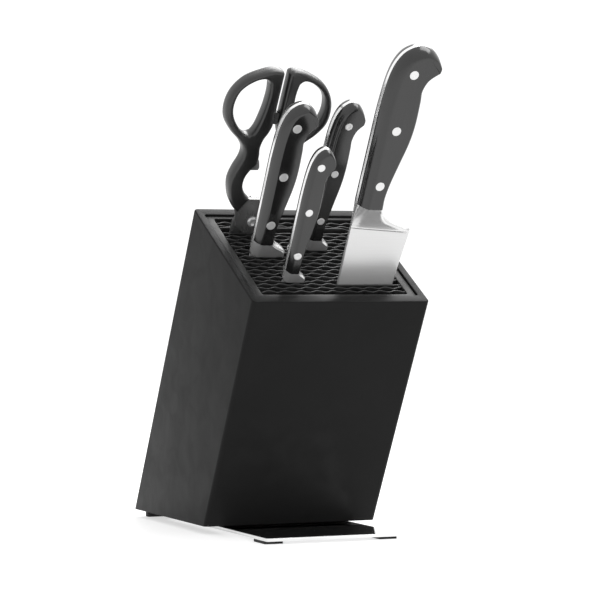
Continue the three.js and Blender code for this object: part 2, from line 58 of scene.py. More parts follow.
FRAME_RECESS, FRAME_SIDE_BAND, FRAME_FRONT_BAND = 1.2, 5.4, 3.3
LAMELLA_COUNT, LAMELLA_WALL, LAMELLA_HALF_PERIOD = 21, 0.8, 5.4
LAMELLA_TOP, LAMELLA_BOTTOM, LAMELLA_WAVE = -1.5, -150.0, 0.9
LAMELLA_CLEARANCE, LAMELLA_EASE, LAMELLA_STATIONS = 0.5, 4, 119
LAMELLA_SHOULDER = (0.7, 0.3)
PANEL_BEVEL, PLATE_BEVEL, SCREW_BEVEL, PAD_BEVEL, SCISSORS_BEVEL = 0.4, 0.35, 0.15, 0.5, 0.2

# Roundings of a handle's outline, as shares of its width.
SPINE_ROUNDING, BELLY_ROUNDING, BEAK_ROUNDING, BUTT_ROUNDING = 0.21, 0.12, 0.05, 0.15
# Where the rounding changes, as (outline points past the beak, rounding there).
ROUNDING_CHANGES = [(-26, BELLY_ROUNDING), (-4, BEAK_ROUNDING), (8, BEAK_ROUNDING), (20, BUTT_ROUNDING),
                    (34, SPINE_ROUNDING)]
CHAMFER_POWER = 1.6
SPINE_POINTS = 14
SCALE_INSET, SCALE_OVERLAP, SCALE_FACE_INSET = 0.05, 0.1, 1.12
TANG, TANG_EDGE = 2.5, 0.04
BLADE, EDGE, BLADE_OVERLAP = 2.4, 0.16, 1
BLADE_STATIONS, STATION_POWER = 90, 1.4
GRIND_START, GRIND_DEPTH = 0.35, 0.78

# Each knife has its place in the leaning frame (x, depth, and the handle's foot out of the rim), its handle
# and rivets, its guard (the bolster's drop, and its width and thickness at the blade) and its blade.
KNIVES = [
    dict(name="chef_knife", x=6.5, depth=26, foot=56, length=108, width=25.6, thickness=19, rivet=3.0,
         rivets=[(8.9, 16.2), (11.2, 54.1), (14.1, 91.9)], guard="heel", drop=18.5, guard_width=41,
         guard_thickness=3.2, blade=203, taper=0.94, tip=6.5),
    dict(name="slicing_knife", x=-40, depth=63, foot=9, length=96.5, width=19.4, thickness=16, rivet=3.0,
         rivets=[(6.7, 14.2), (8.3, 48.3), (10.4, 82)], guard="collar", drop=10.2, guard_width=22.5,
         guard_thickness=10, blade=180, taper=0.98, tip=5),
    dict(name="utility_knife", x=-0.9, depth=71.7, foot=7.4, length=96, width=16.6, thickness=15, rivet=2.5,
         rivets=[(5.5, 14.1), (7.8, 48), (10, 81.6)], guard="collar", drop=8.6, guard_width=16.6,
         guard_thickness=9.5, blade=140, taper=0.98, tip=4),
    dict(name="paring_knife", x=-29.4, depth=30, foot=6.2, length=85, width=12.9, thickness=13, rivet=2.5,
         rivets=[(3.9, 12.5), (5, 43.2), (6.5, 74.3)], guard="collar", drop=7.4, guard_width=14,
         guard_thickness=8.5, blade=90, taper=0.98, tip=4),
]
SCISSORS_X, SCISSORS_DEPTH, SCISSORS_HEIGHT = -30.0, 94.0, 6.2
SCISSORS_TILT = math.radians(-1.3)
SCISSORS_STEEL, SCISSORS_STEEL_GAP, SCISSORS_SWEEP = 2.4, 0.4, 36.0
GRIP_THICKNESS, GRIP_FLAT, GRIP_ROUNDING, GRIP_SHRINK = 10.0, 2.0, 1.9, -0.05
GRIP_VOXEL, GRIP_SMOOTHING = 0.5, 5
BUMPER_BOX, BUMPER_RADIUS, BUMPER_HALF, BUMPER_BEVEL = (-4.5, 1.3, 70, 78), 1.2, 2.5, 0.4
PIVOT_RADIUS, PIVOT_HEAD_RADIUS, PIVOT_HEAD = 2.5, 3.6, 1.2

# Shares of a handle's width and length: up the belly, over the butt and down to the straight spine.
BELLY = [(0.66, 0), (0.65, 0.07), (0.7, 0.16), (0.81, 0.28), (0.94, 0.42), (0.99, 0.54), (0.98, 0.68),
         (0.96, 0.745), (1.02, 0.8), (1.14, 0.835), (1.26, 0.86)]
BUTT = [(1.28, 0.895), (1.19, 0.945), (1, 0.985), (0.78, 1), (0.53, 0.985), (0.3, 0.945), (0.13, 0.87),
        (0.04, 0.76), (0, 0.6)]
# The groove between the large bolster and its blade, as (share of the drop, half the thickness there).
GROOVE = [(0.93, 1.3), (0.965, 1.3), (0.975, 1.7), (1, 1.45)]
# The flare beyond the neck and the drop down a bolster's edge, as shares of the whole.
GUARDS = {
    "heel": [(0, 0), (0.05, 0.12), (0.06, 0.23), (0.14, 0.44), (0.3, 0.62), (0.62, 0.77), (1, 0.92)],
    "collar": [(0, 0), (0.05, 0.06), (0.3, 0.24), (0.82, 0.52), (1, 0.72), (1, 1)],
}
# How fast a bolster thins down its drop, and how the large one's lower edge slants across its width.
GUARD_THINNING = {"heel": 1.25, "collar": 0.9}
HEEL_SLANT_START, HEEL_SLANT = 0.95, 0.16
# The most that the flat edge and the two roundings may take of a thin bolster's section, as shares.
MOST_FLAT, MOST_SPINE, MOST_BELLY = 0.5, 0.4, 0.3

# Across a blade from the spine, as (share of its width, share of its thickness), or None where it is ground.
BLADE_ROWS = [(0, 0.82), (0.006, 1), (0.2, 1), (0.35, 1), (0.6, None), (0.8, None), (0.965, None)]
# A rivet's end and the pivot's head, as (share of the radius, depth under the top).
RIVET_END = [(0, 0.045), (0.3, 0.045), (0.4, 0.02), (0.5, 0.005), (0.8, 0), (0.94, 0.02), (1, 0.1)]
PIVOT_END = [(0, 0.45), (0.4, 0.45), (0.52, 0.12), (0.62, 0), (0.8, 0.12), (0.95, 0.5)]
PIVOT_RIM_TOP, PIVOT_RIM_FOOT = 0.1, -0.28

# The scissors' outlines, measured from the pivot: a grip's outside, its inner edge and its finger loop.
GRIP_OUTER = [(1.6, 103), (2.2, 106.4), (7.3, 107.6), (15, 105.7), (26, 100.2), (33, 91.7), (35.7, 82),
              (34.5, 72), (29, 64), (22.5, 58), (18.4, 52), (18.2, 45.5), (21.4, 36.5), (22.8, 28),
              (20.5, 18), (16, 10.4), (12.3, 6.8)]
GRIP_INNER = [(5.9, 16.8), (9.5, 20), (12.4, 25.5), (12.2, 32), (9.6, 37.4), (6.4, 42), (5.9, 47.7),
              (6.6, 53), (5.6, 59), (3.2, 64), (1.6, 69)]
GRIP_LOOP = [(10.4, 98.5), (9.6, 93), (9.6, 87), (10.4, 78), (13, 66.5), (16.8, 62), (22.5, 64.8), (28.5, 73),
             (30.5, 81), (29.2, 89.3), (25.5, 94.8), (19, 99.3), (13.2, 100.6), (10.4, 98.5)]
RIDGE_FIRST, RIDGE_LAST, RIDGE_PITCH, RIDGE_SINK = 30.0, 44.0, 2.0, 0.5
# A ridge from end to end, as (z, radius).
RIDGE_ROWS, RIDGE_SIDES = [(-2.1, 0.45), (-1.7, 0.75), (1.7, 0.75), (2.1, 0.45)], 8

# ---------- studio, in metres, degrees and watts, and the camera's place in millimetres ----------
FLOOR_REACH, FLOOR_GLOW, WORLD_STRENGTH = 9.0, 0.58, 1.15
LIGHT_AIM = (0, 0, 0.2)
LIGHTS = [("back_soft", (0.9, 1.05, 1.8), 1.2, 26), ("top_soft", (0.75, -0.25, 1.85), 1.1, 20)]
CAMERA_PLACE, CAMERA_TURN, CAMERA_PITCH = (-625.44, -1496.69, 158.66), 22.891, 0.4636
SENSOR_WIDTH, LENS, CLIP_NEAR, CLIP_FAR = 36, 149.58, 0.05, 60

# ---------- places: the casing's frame stands upright, the leaning frame starts at its rim ----------
MM = 0.001
case_low, case_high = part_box("casing")
SHIFT = Vector(((case_low.x + case_high.x) / 2 / MM,
                case_low.y / MM + CASE_FRONT_LENGTH * math.sin(LEAN), case_low.z / MM))
UPRIGHT = Matrix.Scale(MM, 4) @ Matrix.Translation(SHIFT)
RIM_FRONT = (0, -CASE_FRONT_LENGTH * math.sin(LEAN), CASE_FRONT_LENGTH * math.cos(LEAN))
LEANING = UPRIGHT @ Matrix.Translation(RIM_FRONT) @ Matrix.Rotation(LEAN, 4, "X")
UP_LOCAL = Matrix.Rotation(math.pi / 2, 4, "X")


def knife_place(knife):
    return LEANING @ Matrix.Translation((knife["x"], knife["depth"], knife["foot"])) @ UP_LOCAL


def scissors_place():
    tilt = Matrix.Rotation(SCISSORS_TILT, 4, "Z")
    return LEANING @ Matrix.Translation((SCISSORS_X, SCISSORS_DEPTH, SCISSORS_HEIGHT)) @ UP_LOCAL @ tilt


# ---------- node materials ----------
# Most of a noise's values lie between these two.
NOISE_LOW, NOISE_HIGH = 0.3, 0.7


class Shader:
    """A material's node tree with short calls for the nodes it is made of."""

    def __init__(self, name, color, metallic, roughness, specular=0.5):
        self.material = bpy.data.materials.new(name)
        self.material.use_nodes = True
        self.tree = self.material.node_tree
        self.bsdf = self.tree.nodes["Principled BSDF"]
        self.bsdf.inputs["Base Color"].default_value = (*color, 1)
        self.bsdf.inputs["Metallic"].default_value = metallic
        self.bsdf.inputs["Roughness"].default_value = roughness
        self.bsdf.inputs["Specular IOR Level"].default_value = specular
        self.coords = self.tree.nodes.new("ShaderNodeTexCoord").outputs["Object"]

    def add(self, kind, **settings):
        node = self.tree.nodes.new(kind)
        for key, value in settings.items():
            setattr(node, key, value)
        return node

    def link(self, source, node, socket):
        self.tree.links.new(source, node.inputs[socket])

    def leaning(self, stretch=(1, 1, 1)):
        """Coordinates across, into the depth and out of the rim, each scaled by its stretch."""
        turn = self.add("ShaderNodeMapping")
        turn.inputs["Rotation"].default_value = (-LEAN, 0, 0)
        self.link(self.coords, turn, "Vector")
        scale = self.add("ShaderNodeMapping")
        scale.inputs["Scale"].default_value = stretch
        self.link(turn.outputs["Vector"], scale, "Vector")
        return scale.outputs["Vector"]

    def noise(self, scale, detail=3.0, stretch=None, distortion=0.0):
        node = self.add("ShaderNodeTexNoise")
        self.link(self.coords if stretch is None else self.leaning(stretch), node, "Vector")
        node.inputs["Scale"].default_value = scale
        node.inputs["Detail"].default_value = detail
        node.inputs["Distortion"].default_value = distortion
        return node.outputs["Fac"]

    def cells(self, scale):
        node = self.add("ShaderNodeTexVoronoi")
        self.link(self.coords, node, "Vector")
        node.inputs["Scale"].default_value = scale
        return node.outputs["Distance"]

    def between(self, factor, low, high):
        """The noise's usual values, spread to run from low to high."""
        node = self.add("ShaderNodeMapRange")
        self.link(factor, node, "Value")
        ends = (NOISE_LOW, NOISE_HIGH, low, high)
        for socket, value in zip(("From Min", "From Max", "To Min", "To Max"), ends):
            node.inputs[socket].default_value = value
        return node.outputs["Result"]

    def tint(self, factor, dark, light):
        """The base colour runs from dark to light with the noise."""
        node = self.add("ShaderNodeValToRGB")
        node.color_ramp.elements[0].position = NOISE_LOW
        node.color_ramp.elements[1].position = NOISE_HIGH
        node.color_ramp.elements[0].color = (*dark, 1)
        node.color_ramp.elements[1].color = (*light, 1)
        self.link(factor, node, "Fac")
        self.link(node.outputs["Color"], self.bsdf, "Base Color")

    def roughness(self, factor, low, high):
        self.link(self.between(factor, low, high), self.bsdf, "Roughness")

    def bumps(self, *layers):
        """Each layer is (height, depth in millimetres); they add up."""
        below = None
        for height, depth in layers:
            node = self.add("ShaderNodeBump")
            node.inputs["Strength"].default_value = 1.0
            node.inputs["Distance"].default_value = depth * MM
            self.link(height, node, "Height")
            if below is not None:
                self.link(below, node, "Normal")
            below = node.outputs["Normal"]
        self.link(below, self.bsdf, "Normal")


def grey(value, warm=0.0):
    """A grey of this brightness, a little redder than blue when warm."""
    return (value * (1 + warm), value, value * (1 - warm))


def lacquer():
    s = Shader("satin_lacquer", grey(0.0095), 0, 0.45, 0.055)
    s.tint(s.noise(26, 5), grey(0.009), grey(0.0102))
    s.roughness(s.noise(60, 5, distortion=0.6), 0.42, 0.5)
    s.bumps((s.noise(900, 3), 0.008), (s.noise(3200, 2), 0.006))
    return s.material


def raw_board():
    s = Shader("dark_board", grey(0.012), 0, 0.75, 0.3)
    fibre = s.noise(160, 5, stretch=(0.12, 1, 1))
    s.tint(fibre, grey(0.008), grey(0.018, 0.03))
    s.roughness(fibre, 0.65, 0.85)
    s.bumps((fibre, 0.05), (s.noise(1800, 2), 0.02))
    return s.material


def moulded(name, value, roughness, specular, grain=2200, depth=0.012):
    """Moulded plastic with a fine grain of the given depth in millimetres."""
    s = Shader(name, grey(value), 0, roughness, specular)
    s.tint(s.noise(14, 4), grey(value * 0.82), grey(value * 1.2))
    s.roughness(s.noise(60, 4, distortion=0.4), roughness - 0.05, roughness + 0.07)
    s.bumps((s.cells(grain), depth), (s.noise(grain * 1.7, 2), depth * 0.6))
    return s.material


def handle_plastic():
    s = Shader("handle_plastic", grey(0.0065), 0, 0.19, 0.62)
    streaks = s.noise(90, 4, stretch=(6, 6, 0.5), distortion=0.2)
    s.tint(streaks, grey(0.005), grey(0.008))
    s.roughness(s.noise(45, 5, distortion=0.5), 0.17, 0.22)
    s.bumps((s.noise(3200, 2), 0.004), (s.noise(260, 3), 0.012))
    return s.material


def lamella_plastic():
    s = Shader("lamella_plastic", grey(0.004), 0, 0.4, 0.6)
    draw = s.noise(220, 3, stretch=(1.4, 1.4, 0.06))
    s.tint(draw, grey(0.0028), grey(0.0055))
    s.roughness(draw, 0.34, 0.48)
    s.bumps((draw, 0.02), (s.noise(2400, 2), 0.006))
    return s.material


def ground_steel(name, low, high, stretch, value, metal):
    """Steel with grinding lines stretched one way; its roughness runs from low to high."""
    s = Shader(name, grey(value), metal, (low + high) / 2)
    lines = s.noise(420, 6, stretch=stretch)
    s.tint(lines, grey(value * 0.97, 0.004), grey(min(1, value * 1.03), -0.002))
    s.roughness(lines, low, high)
    s.bumps((s.noise(90, 2), 0.0015))
    return s.material


def polished_steel(name, low, high, value, metal=1.0):
    """Polished steel with faint smears; its roughness runs from low to high."""
    s = Shader(name, grey(value), metal, low)
    smear = s.noise(40, 5, distortion=0.8)
    s.tint(smear, grey(value * 0.96), grey(min(1, value * 1.03)))
    s.roughness(smear, low, high)
    s.bumps((s.noise(700, 4, stretch=(0.08, 1, 1)), 0.0012))
    return s.material


def rubber():
    s = Shader("rubber", grey(0.012), 0, 0.8, 0.35)
    s.tint(s.noise(120, 4), grey(0.008), grey(0.02))
    s.roughness(s.noise(300, 3), 0.72, 0.9)
    s.bumps((s.cells(1500), 0.05))
    return s.material


LACQUER = lacquer()
BOARD = raw_board()
INSERT = moulded("insert_plastic", value=0.015, roughness=0.45, specular=0.12)
LAMELLA = lamella_plastic()
HANDLE = handle_plastic()
GRIP = moulded("grip_plastic", value=0.008, roughness=0.34, specular=0.6, grain=2600, depth=0.004)
BLADE_STEEL = ground_steel("ground_steel", low=0.28, high=0.31, stretch=(0.05, 1, 9), value=0.56, metal=0.5)
BOLSTER_STEEL = ground_steel("bolster_steel", low=0.2, high=0.24, stretch=(0.06, 1, 5), value=0.62, metal=0.7)
TANG_STEEL = ground_steel("tang_steel", low=0.2, high=0.28, stretch=(4, 4, 0.2), value=0.85, metal=0.8)
SCISSOR_STEEL = ground_steel("scissor_steel", low=0.26, high=0.34, stretch=(6, 1, 0.2), value=0.24,
                             metal=0.75)
RIVET_STEEL = polished_steel("rivet_steel", low=0.3, high=0.38, value=0.62, metal=0.6)
MIRROR = polished_steel("mirror_steel", low=0.03, high=0.07, value=0.76)
SCREW_STEEL = polished_steel("screw_steel", low=0.25, high=0.4, value=0.7)
RUBBER = rubber()


# ---------- mesh helpers ----------
SAME_POINT, NODE_WELD = 1e-6, 1e-5


def piece(name, verts, faces, place, body, material, nodes=(), sharp=32):
    """A mesh from millimetre points, set in its place, riding its body and standing for its nodes. It is
    shaded smooth, but for edges sharper than the given angle in degrees."""
    mesh = bpy.data.meshes.new(name)
    mesh.from_pydata([place @ Vector(v) for v in verts], [], faces)
    work = bmesh.new()
    work.from_mesh(mesh)
    bmesh.ops.remove_doubles(work, verts=work.verts, dist=SAME_POINT)
    bmesh.ops.recalc_face_normals(work, faces=work.faces)
    work.to_mesh(mesh)
    work.free()
    mesh.shade_smooth()
    mesh.set_sharp_from_angle(angle=math.radians(sharp))
    obj = bpy.data.objects.new(name, mesh)
    bpy.context.scene.collection.objects.link(obj)
    mesh.materials.append(material)
    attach(obj, body)
    if nodes:
        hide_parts(*nodes)
    return obj


def strips(count, rows, closed, first=0):
    """Quads between successive rows of points; closed joins each row's end to its start."""
    faces = []
    for row in range(rows - 1):
        for i in range(count if closed else count - 1):
            j = (i + 1) % count
            a = first + row * count
            faces.append((a + i, a + j, a + count + j, a + count + i))
    return faces


def caps(count, rows, first=0):
    """The two end faces of a run of closed rows of points."""
    last = first + (rows - 1) * count
    return [tuple(range(first, first + count)), tuple(range(last, last + count))]


def catmull(points, per=8):
    """A smooth curve through the points, the same one as the CAD outlines follow."""
    p = np.array(points, float)
    out = []
    for i in range(len(p) - 1):
        p0, p1, p2, p3 = p[max(i - 1, 0)], p[i], p[i + 1], p[min(i + 2, len(p) - 1)]
        for t in np.arange(per) / per:
            v0, v1 = (p2 - p0) / 2, (p3 - p1) / 2
            cubic, square = 2 * p1 - 2 * p2 + v0 + v1, -3 * p1 + 3 * p2 - 2 * v0 - v1
            out.append(cubic * t**3 + square * t**2 + v0 * t + p1)
    out.append(p[-1])
    return np.array(out)


def rounded_rectangle(x0, x1, y0, y1, radius, per=7):
    """An anticlockwise outline with per steps round each corner."""
    corners = [(x1 - radius, y0 + radius, -90), (x1 - radius, y1 - radius, 0),
               (x0 + radius, y1 - radius, 90), (x0 + radius, y0 + radius, 180)]
    out = []
    for cx, cy, start in corners:
        for k in range(per + 1):
            a = math.radians(start + 90 * k / per)
            out.append((cx + radius * math.cos(a), cy + radius * math.sin(a)))
    return out


def fillet(radius, steps=4):
    """(inset, drop) pairs from the side, at the fillet's foot, round to the top."""
    angles = [math.pi / 2 * k / steps for k in range(steps + 1)]
    return [(radius * (1 - math.cos(a)), radius * (1 - math.sin(a))) for a in angles]


# ---------- block ----------
def sloped(height, t):
    """Place along the lean of a level plane this far over the casing's underside."""
    return -CASE_FRONT_LENGTH + height / math.cos(LEAN) - t * math.tan(LEAN)


def sleeve(name, outer, inner, top, height, radii, fillets, node, material, body):
    """A leaning four-sided tube with rounded corners and edges. outer and inner are (half width, front depth,
    back depth); radii and fillets are those of the outer and the inner side."""
    rings = []

    def ring(side, inset, lift, at_top):
        half, t0, t1 = outer if side == 0 else inner
        sign = 1 if side == 0 else -1
        half, t0, t1 = half - sign * inset, t0 + sign * inset, t1 - sign * inset
        radius = max(LEAST_RADIUS, radii[side] - sign * inset)
        points = rounded_rectangle(-half, half, t0, t1, radius)
        rings.append([(x, t, (top if at_top else sloped(height, t)) + lift) for x, t in points])

    for side in (0, 1):
        low = [(inset, drop, False) for inset, drop in reversed(fillet(fillets[side] * LOWER_FILLET))]
        high = [(inset, -drop, True) for inset, drop in fillet(fillets[side])]
        run = low + high
        for inset, lift, at_top in run if side == 0 else reversed(run):
            ring(side, inset, lift, at_top)
    rings.append(rings[0])
    verts = [v for r in rings for v in r]
    faces = strips(len(rings[0]), len(rings), True)
    return piece(name, verts, faces, LEANING, body, material, (node,))


def insert_inner():
    """Half width and depths of the opening inside the insert's sleeve."""
    half = CASE_WIDTH / 2 - SIDE_WALL - GAP - FRAME_SIDE_BAND
    front = FRONT_WALL + GAP + FRAME_FRONT_BAND
    return half, front, CASE_DEPTH - front


def block_and_frame():
    cavity = (CASE_WIDTH / 2 - SIDE_WALL, FRONT_WALL, CASE_DEPTH - FRONT_WALL)
    sleeve("casing_shell", (CASE_WIDTH / 2, 0, CASE_DEPTH), cavity, 0, 0, CASE_RADII, CASE_FILLETS, "casing",
           LACQUER, "block")
    outside = (cavity[0] - GAP, cavity[1] + GAP, cavity[2] - GAP)
    sleeve("insert_sleeve", outside, insert_inner(), -FRAME_RECESS, FLOOR_THICKNESS + GAP, FRAME_RADII,
           FRAME_FILLETS, "insert_frame", INSERT, "insert")


def blade_slots():
    """(first x, last x, depth, half the thickness) of what stands between the lamellae."""
    slots = [(k["x"], k["x"] + k["guard_width"], k["depth"], TANG / 2) for k in KNIVES]
    slots.append((-CASE_WIDTH / 2, SCISSORS_SWEEP, SCISSORS_DEPTH, SCISSORS_STEEL + SCISSORS_STEEL_GAP / 2))
    return slots


def lamella_depth(index, x, middle, slots):
    """A wave in antiphase with its neighbours', eased flat beside any blade."""
    phase = math.pi * (x / LAMELLA_HALF_PERIOD + index)
    depth = middle + LAMELLA_WAVE * math.cos(phase)
    for x0, x1, slot_depth, half in slots:
        outside = max(x0 - x, x - x1, 0) / LAMELLA_HALF_PERIOD
        ease = LAMELLA_EASE * min(1, outside) ** 2
        clear = half + LAMELLA_CLEARANCE + LAMELLA_WALL / 2 - ease
        if outside < 1 and middle >= slot_depth:
            depth = max(depth, slot_depth + clear)
        if outside < 1 and middle < slot_depth:
            depth = min(depth, slot_depth - clear)
    return depth


def lamellae():
    """The insert's strips from front to back, each a thin wave with a rounded top edge."""
    half, front, back = insert_inner()
    half -= GAP
    pitch = (back - front) / (LAMELLA_COUNT + 1)
    wall = LAMELLA_WALL / 2
    out, down = (share * wall for share in LAMELLA_SHOULDER)
    section = [(-wall, LAMELLA_BOTTOM), (-wall, LAMELLA_TOP - wall), (-out, LAMELLA_TOP - down),
               (0, LAMELLA_TOP), (out, LAMELLA_TOP - down), (wall, LAMELLA_TOP - wall),
               (wall, LAMELLA_BOTTOM)]
    stations = np.linspace(-half, half, LAMELLA_STATIONS)
    slots = blade_slots()
    for index in range(LAMELLA_COUNT):
        middle = front + pitch * (index + 1)
        verts = []
        for x in stations:
            depth = lamella_depth(index, x, middle, slots)
            verts += [(x, depth + dt, s) for dt, s in section]
        faces = strips(len(section), len(stations), True) + caps(len(section), len(stations))
        number = f"{index + 1:02d}"
        piece(f"wave_strip_{number}", verts, faces, LEANING, "insert", LAMELLA,
              (f"lamella_{number}",), sharp=60)


def softened_node(node, material, width, segments=3):
    """A CAD node whose shape is right keeps it, with its edges broken and a material."""
    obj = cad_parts[node]
    obj.data.materials.clear()
    obj.data.materials.append(material)
    weld = obj.modifiers.new("weld", "WELD")
    weld.merge_threshold = NODE_WELD
    bevel = obj.modifiers.new("edges", "BEVEL")
    bevel.width = width * MM
    bevel.segments = segments
    bevel.limit_method = "ANGLE"
    bevel.angle_limit = math.radians(40)
    bevel.use_clamp_overlap = True
    bevel.harden_normals = False
    obj.data.shade_smooth()
    smooth = obj.modifiers.new("normals", "WEIGHTED_NORMAL")
    smooth.keep_sharp = True
    smooth.weight = 80


def foot_plate():
    softened_node("floor_panel", BOARD, PANEL_BEVEL)
    softened_node("base_plate", MIRROR, PLATE_BEVEL)
    for node in ("plate_screw_1", "plate_screw_2"):
        softened_node(node, SCREW_STEEL, SCREW_BEVEL, 2)
    for node in ("foot_front_left", "foot_front_right", "foot_back_left", "foot_back_right"):
        softened_node(node, RUBBER, PAD_BEVEL)


# ---------- knives ----------
def knife_piece(knife, part, verts, faces, material, node=None, at=(0, 0), sharp=32):
    """A piece at a point of the knife's handle frame, which may stand for one of the knife's nodes."""
    name = knife["name"]
    nodes = (f"{name}_{node}",) if node else ()
    place = knife_place(knife) @ Matrix.Translation((*at, 0))
    return piece(f"{name}_{part}", verts, faces, place, name, material, nodes, sharp)


def rounding_profile(power, steps=7):
    """(share of the inset, share of the rise) from the widest line to the flat face."""
    out = []
    for k in range(steps + 1):
        a = math.pi / 2 * k / steps
        out.append((1 - math.cos(a) ** (2 / power), math.sin(a) ** (2 / power)))
    return out


def handle_line(knife):
    """The handle's outline from the foot of the belly over the butt to the foot of the spine, with inward
    normals and how far the rounding reaches in at each point."""
    width, length = knife["width"], knife["length"]
    belly = catmull([(x * width, y * length) for x, y in BELLY])
    butt = catmull([(x * width, y * length) for x, y in [BELLY[-1], *BUTT]])
    spine = np.linspace(butt[-1], (0, 0), SPINE_POINTS)[1:]
    line = np.vstack([belly, butt[1:], spine])
    along = np.gradient(line, axis=0)
    normal = np.stack([-along[:, 1], along[:, 0]], 1)
    normal /= np.linalg.norm(normal, axis=1)[:, None]
    normal[0], normal[-1] = (-1, 0), (1, 0)
    steps, shares = zip(*ROUNDING_CHANGES)
    stations = [len(belly) + step for step in steps]
    return line, normal, width * np.interp(np.arange(len(line)), stations, shares)


def offset_row(line, normal, inset, z):
    """The outline moved inwards and set at height z, kept above the handle's foot."""
    moved = line + normal * np.reshape(inset, (-1, 1))
    moved[:, 1] = np.maximum(moved[:, 1], 0)
    return [(x, y, z) for x, y in moved]


def scale_piece(knife, side):
    """The front (1) or rear (-1) half of the handle."""
    line, normal, inset = handle_line(knife)
    low = TANG / 2 - SCALE_OVERLAP
    high = knife["thickness"] / 2 - SCALE_INSET
    rows = [offset_row(line, normal, SCALE_INSET + inset * f, side * (low + (high - low) * g))
            for f, g in rounding_profile(CHAMFER_POWER)]
    rows.append(offset_row(line, normal, inset * SCALE_FACE_INSET, side * high))
    verts = [v for row in rows for v in row]
    count = len(line)
    faces = strips(count, len(rows), False) + caps(count, len(rows))
    starts = [row * count for row in range(len(rows))]
    faces.append(tuple(starts + [start + count - 1 for start in reversed(starts)]))
    label = "front" if side > 0 else "rear"
    knife_piece(knife, f"{label}_cheek", verts, faces, HANDLE, f"{label}_scale", sharp=30)


def tang_piece(knife):
    """The steel between the scales, which shows as a line round the handle."""
    line, normal, _ = handle_line(knife)
    half, ease = TANG / 2, TANG_EDGE
    rows = [offset_row(line, normal, np.full(len(line), inset), z)
            for inset, z in ((ease, -half), (0, ease - half), (0, half - ease), (ease, half))]
    verts = [v for row in rows for v in row]
    faces = strips(len(line), len(rows), True) + caps(len(line), len(rows))
    knife_piece(knife, "tang", verts, faces, TANG_STEEL, "blade", sharp=25)


def bolster_section(knife, right, half):
    """Half of the bolster's section, from the spine's middle line to the edge's, as (x, z)."""
    flat = min(TANG / 2, half * MOST_FLAT)
    spine_in = min(SPINE_ROUNDING * knife["width"], right * MOST_SPINE)
    belly_in = min(BELLY_ROUNDING * knife["width"], right * MOST_BELLY)
    profile = rounding_profile(CHAMFER_POWER, 5)
    steps = 6
    spine = [(spine_in * f, flat + (half - flat) * g) for f, g in profile]
    face = [(spine_in + (right - spine_in - belly_in) * k / steps, half) for k in range(1, steps)]
    belly = [(right - belly_in * f, flat + (half - flat) * g) for f, g in reversed(profile)]
    return spine + face + belly


def bolster_piece(knife):
    """From the handle's foot down to the blade, thinning as it flares; the large one ends in a groove."""
    neck = BELLY[0][0] * knife["width"]
    flare = knife["guard_width"] - neck
    low, high = knife["guard_thickness"] / 2, knife["thickness"] / 2
    heel = knife["guard"] == "heel"
    thinning = GUARD_THINNING[knife["guard"]]
    shares = [(out, down, low + (high - low) * max(0, 1 - down) ** thinning)
              for out, down in catmull(GUARDS[knife["guard"]], 6)]
    if heel:
        shares += [(1, down, half) for down, half in GROOVE]
    verts = []
    for out, down, half in shares:
        section = bolster_section(knife, neck + flare * min(out, 1), half)
        for x, z in section + [(x, -z) for x, z in reversed(section)]:
            slant = HEEL_SLANT_START + HEEL_SLANT * x / knife["guard_width"] if heel else 1
            verts.append((x, -down * knife["drop"] * slant, z))
    rows = len(shares)
    count = len(verts) // rows
    faces = strips(count, rows, True) + caps(count, rows)
    knife_piece(knife, "bolster", verts, faces, BOLSTER_STEEL, sharp=40)


def blade_piece(knife):
    """A blade ground thin towards its edge; its stations crowd together near the tip."""
    heel, length = -knife["drop"] + BLADE_OVERLAP, knife["blade"] + BLADE_OVERLAP
    width, tip = knife["guard_width"], knife["tip"]
    spine = catmull([(0, 0), (0, 0.3), (0, 0.6), (0.1 * tip, 0.75), (0.4 * tip, 0.9), (tip, 1)])
    edge = catmull([(width, 0), (width, 0.02), (knife["taper"] * width, 0.17), (0.9 * width, 0.36),
                    (0.8 * width, 0.6), (0.64 * width, 0.78), (0.4 * width, 0.92), (tip + 0.3, 1)])
    stations = 1 - np.linspace(1, 0, BLADE_STATIONS) ** STATION_POWER
    verts = []
    for share in stations:
        x0 = np.interp(share, spine[:, 1], spine[:, 0])
        x1 = np.interp(share, edge[:, 1], edge[:, 0])
        front = []
        for f, thick in BLADE_ROWS:
            x = x0 + (x1 - x0) * f
            if thick is None:
                thick = 1 - GRIND_DEPTH * max(0, (x / width - GRIND_START) / (1 - GRIND_START))
            front.append((x, BLADE / 2 * thick))
        y = heel - length * share
        verts += [(x, y, z) for x, z in front] + [(x1, y, EDGE / 2), (x1, y, -EDGE / 2)]
        verts += [(x, y, -z) for x, z in reversed(front)]
    count = 2 * len(BLADE_ROWS) + 2
    faces = strips(count, BLADE_STATIONS, True) + caps(count, BLADE_STATIONS)
    knife_piece(knife, "ground_blade", verts, faces, BLADE_STEEL, sharp=12)


def lathe(profile, sides=40):
    """Points and faces of a (radius, z) profile turned about Z; the profile starts and ends on the axis."""
    verts = [(0, 0, profile[0][1])]
    for r, z in profile[1:-1]:
        verts += [(r * math.cos(a), r * math.sin(a), z) for a in np.arange(sides) * 2 * math.pi / sides]
    verts.append((0, 0, profile[-1][1]))
    rows = len(profile) - 2
    faces = strips(sides, rows, True, 1)
    last = 1 + (rows - 1) * sides
    for i in range(sides):
        j = (i + 1) % sides
        faces += [(0, 1 + j, 1 + i), (len(verts) - 1, last + i, last + j)]
    return verts, faces


def rivet_pieces(knife):
    half = knife["thickness"] / 2
    head = [(share * knife["rivet"], half - depth) for share, depth in RIVET_END]
    verts, faces = lathe(head + [(r, -z) for r, z in reversed(head)])
    for i, at in enumerate(knife["rivets"], 1):
        knife_piece(knife, f"pin_{i}", verts, faces, RIVET_STEEL, f"rivet_{i}", at, sharp=50)


